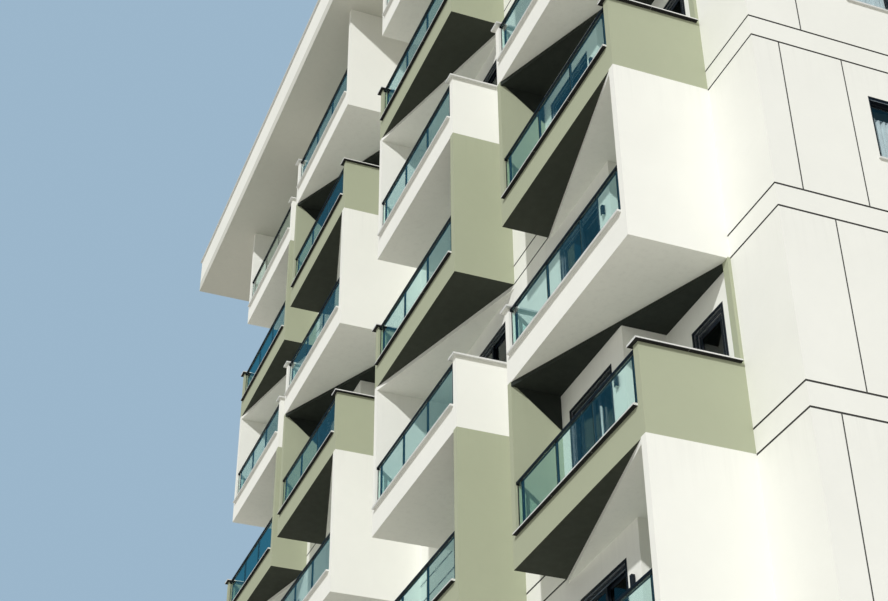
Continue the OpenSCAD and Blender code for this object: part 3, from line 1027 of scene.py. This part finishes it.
def handrail(build, low, high):
    """A tube with a plate on each end, and under each the dark channel that holds the glass at the wall."""
    middle, half = (low + high) / 2, (high - low) / 2
    build.rod(round_outline(middle.y, middle.z, half.y, half.z, 0.010, 4), 0, low.x, high.x)
    play = 0.0005
    lips = ((GLASS_FRONT - CHANNEL_LIP, GLASS_FRONT - play), (GLASS_BACK + play, GLASS_BACK + CHANNEL_LIP))
    for end, way in ((low.x, 1), (high.x, -1)):
        near, far = sorted((end, end + way * PLATE_T))
        build.box((near, low.y - 0.004, low.z - 0.012), (far, high.y + 0.004, high.z - 0.001), 0, 0.001)
        near, far = sorted((end, end + way * CHANNEL_W))
        for front, back in lips:
            build.box((near, low.y + front, low.z - GLASS_TALL), (far, low.y + back, low.z), 0, 0.001)


def green_wall(build, low, high):
    """A wall whose inner face carries painted shade: a dark olive triangle under the soffit, bounded by the
    sun's shadow line.
    """
    inner_x, outer_x = (high.x, low.x) if gap_is_left((low.x + high.x) / 2) else (low.x, high.x)
    soffit = max(level for level in LEVELS if level < high.z + 0.001)
    drop = SHADOW_LINE_SLOPE * (high.y - low.y)
    points = list(product((outer_x, inner_x), (low.y, high.y), (low.z, high.z)))
    points += [(inner_x, low.y, soffit), (inner_x, high.y, soffit - drop)]
    plain = [(0, 1, 3, 2), (0, 4, 8, 5, 1), (2, 3, 7, 9, 6), (0, 2, 6, 4), (1, 5, 7, 3), (4, 6, 9, 8)]
    # The painted shade: the part of the inner face above the shadow line
    dark = [(8, 9, 7, 5)]
    build.add(points, plain + dark, [0] * len(plain) + [1])


def coping(build, low, high, along, nose, joint=0.003, longest=1.4, arris=0.004, slant=0.002):
    """A stone coping in lengths with fine joints, chamfered above and with a drip under both edges.
    With a nose, its edges are light over that height and dark below: dark paint deepened as painted shade."""
    near, far = low[1 - along], high[1 - along]
    light = high.z - nose
    foot = [(0.0, low.z), (DRIP_IN, low.z), (DRIP_IN + slant, low.z + DRIP_DEEP),
            (DRIP_IN + DRIP_W, low.z + DRIP_DEEP), (DRIP_IN + DRIP_W + slant, low.z)]
    head = [(arris, high.z), (0.0, high.z - arris)] + ([(0.0, light)] if nose else [])
    outline = [(near + u, z) for u, z in foot] + [(far - u, z) for u, z in reversed(head + foot)]
    outline += [(near + u, z) for u, z in head]
    first = len(build.faces)
    count = max(1, math.ceil((high[along] - low[along]) / longest))
    build.rods(outline, along, low[along], high[along], count, joint)
    # Faces under the nose's height take the dark finish, which is paint deepened as painted shade
    for number in range(first, len(build.faces)):
        if nose and max(build.points[corner][2] for corner in build.faces[number]) < light + 0.001:
            build.mats[number] = 1


def make_roof():
    """Folded metal flashing on the fascia, and a felt deck with lapped sheets, upstands and outlets."""
    for way, along in (("long", 0), ("short", 1)):
        rebuild(f"roof_cap_{way}", f"roof_flashing_{way}", ["enamel"], "roof_metal", flashing, along)
    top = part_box("roof_slab")[1].z
    half_y = min(low.y for low, high in solids("roof_fascia_long") if low.y > 0)
    half_x = min(low.x for low, high in solids("roof_fascia_short") if low.x > 0)
    make("roof_deck", felt_deck(half_x, half_y, top), ["felt"], "concrete")
    outlets, outlet = Build(), outlet_unit()
    outlet_x, outlet_y = 0.62 * half_x, 0.55 * half_y
    for x, y in product((-outlet_x, outlet_x), (-outlet_y, outlet_y)):
        outlets.merge(outlet, Matrix.Translation((x, y, top + FELT_T + SEAM_T)))
    make("roof_outlets", outlets, ["zinc"], "roof_metal")


def felt_deck(half_x, half_y, top):
    """Felt with lapped seams, turned up over a fillet at the fascia."""
    build = Build()
    build.box((-half_x, -half_y, top), (half_x, half_y, top + FELT_T))
    seam_top = FELT_T + SEAM_T
    end_gap = 0.05
    for i in range(1, FELT_SHEETS):
        y = -half_y + i * 2 * half_y / FELT_SHEETS
        build.box((end_gap - half_x, y - SEAM_W / 2, top + FELT_T),
                  (half_x - end_gap, y + SEAM_W / 2, top + seam_top), 0, 0.002)
    profile = [(0.0, 0.0), (0.0, UPSTAND), (0.010, UPSTAND), (0.012, FILLET), (FILLET, seam_top),
               (FILLET, 0.0)]
    for sign, (edge, half, axis) in product((-1, 1), ((half_y, half_x, 0), (half_x, half_y, 1))):
        build.rod([(sign * (edge - back), top + up) for back, up in profile], axis, -half, half)
    return build


def outlet_unit():
    """A roof outlet: a flange, twelve bent ribs and a cap."""
    flange_t, cap_low, cap_high = 0.006, 0.053, 0.068
    build = Build()
    build.rod(circle(0.11, 20), 2, 0.0, flange_t)
    rib = Build()
    rib.rod([(0.02, 0.05), (0.055, 0.042), (0.082, 0.0), (0.090, 0.0), (0.062, 0.050), (0.02, 0.060)],
            1, -0.004, 0.004)
    for i in range(12):
        turn = Matrix.Rotation(2 * math.pi * i / 12, 4, "Z")
        build.merge(rib, Matrix.Translation((0, 0, flange_t)) @ turn)
    build.rod(circle(0.026, 12), 2, cap_low, cap_high)
    return build


def flashing(build, low, high, along, joint=0.002, longest=2.0, kick=0.010, fall=0.012):
    """A folded cap: sloped top and two drops with kicked drips, in lengths with open joints."""
    near, far = low[1 - along], high[1 - along]
    out, back = (far, near) if near + far > 0 else (near, far)
    kick = math.copysign(kick, out)
    drip, bend = low.z + 0.004, low.z + 0.014
    outline = [
        (out, low.z), (out, drip), (out - kick, bend), (out - kick, high.z),
        (back + kick, high.z - fall), (back + kick, bend), (back, drip), (back, low.z),
    ]
    count = max(1, round((high[along] - low[along]) / longest))
    build.rods(outline, along, low[along], high[along], count, joint)


def dress_cad():
    """Procedural materials on the CAD nodes that stay."""
    groups = {
        "white": ("front_return_walls", "white_soffits", "white_front_bands", "white_side_walls",
                  "white_side_parapets", "roof_fascia_long", "roof_fascia_short"),
        "roof": ("roof_slab",),
        "sage": ("green_front_bands", "green_side_parapets", "green_corner_strips"),
        "olive": ("green_soffits",),
        "tile": ("white_balcony_slabs", "green_balcony_slabs", "recess_slabs"),
        "concrete": ("ground_slab", "floor_slabs", "nook_floors"),
    }
    for name, nodes in groups.items():
        for cad_name in nodes:
            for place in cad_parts[cad_name].material_slots:
                place.material = FINISH[name]


# Stage

def make_stage():
    """A pale floor, a soft sun, a plain sky and the photograph's camera."""
    half = 450
    floor_mesh = bpy.data.meshes.new("studio_floor")
    corners = [(-half, -half, 0), (half, -half, 0), (half, half, 0), (-half, half, 0)]
    floor_mesh.from_pydata(corners, [], [(0, 1, 2, 3)])
    floor = bpy.data.objects.new("studio_floor", floor_mesh)
    floor_mesh.materials.append(new_material("studio_floor", FLOOR, roughness=0.9)[0])

    light = bpy.data.lights.new("sun", "SUN")
    light.energy = SUN_STRENGTH
    light.angle = SUN_WIDTH
    sun = bpy.data.objects.new("sun", light)
    sun.rotation_mode = "QUATERNION"
    sun.rotation_quaternion = Vector(TO_SUN).to_track_quat("Z", "Y")

    lens = bpy.data.cameras.new("camera")
    lens.sensor_width = SENSOR_MM
    lens.lens = LENS_MM
    lens.clip_start = CLIP_START
    lens.clip_end = CLIP_END
    camera = bpy.data.objects.new("camera", lens)
    axes = Matrix((CAMERA_RIGHT, CAMERA_UP, CAMERA_BACK)).transposed()
    camera.matrix_world = Matrix.Translation(CAMERA_AT) @ axes.to_4x4()

    scene = bpy.context.scene
    for thing in (floor, sun, camera):
        scene.collection.objects.link(thing)
    scene.camera = camera
    scene.view_settings.view_transform = "Standard"
    scene.world = make_sky()


def make_sky():
    """Plain light from all around, a backdrop, and a deeper blue for what mirrors it."""
    world = bpy.data.worlds.new("studio")
    world.use_nodes = True
    tree = world.node_tree
    light = tree.nodes["Background"]
    feed(light, color=SKY_LIGHT, strength=SKY_STRENGTH)
    path = node(tree, "LightPath", {}).outputs
    plain = blend(tree, path["Is Glossy Ray"], BACKDROP, MIRRORED_SKY)
    seen = node(tree, "Background", {"Color": plain, "Strength": 1.0})
    direct = calc(tree, "MAXIMUM", path["Is Camera Ray"], path["Is Glossy Ray"])
    direct = calc(tree, "MAXIMUM", direct, path["Is Transmission Ray"])
    mix_shaders(tree.nodes["World Output"], direct, light, seen)
    return world


walls = make_walls()
make_windows(walls, random.Random(SEED))
make_doors(walls)
make_balconies()
make_roof()
dress_cad()
make_stage()
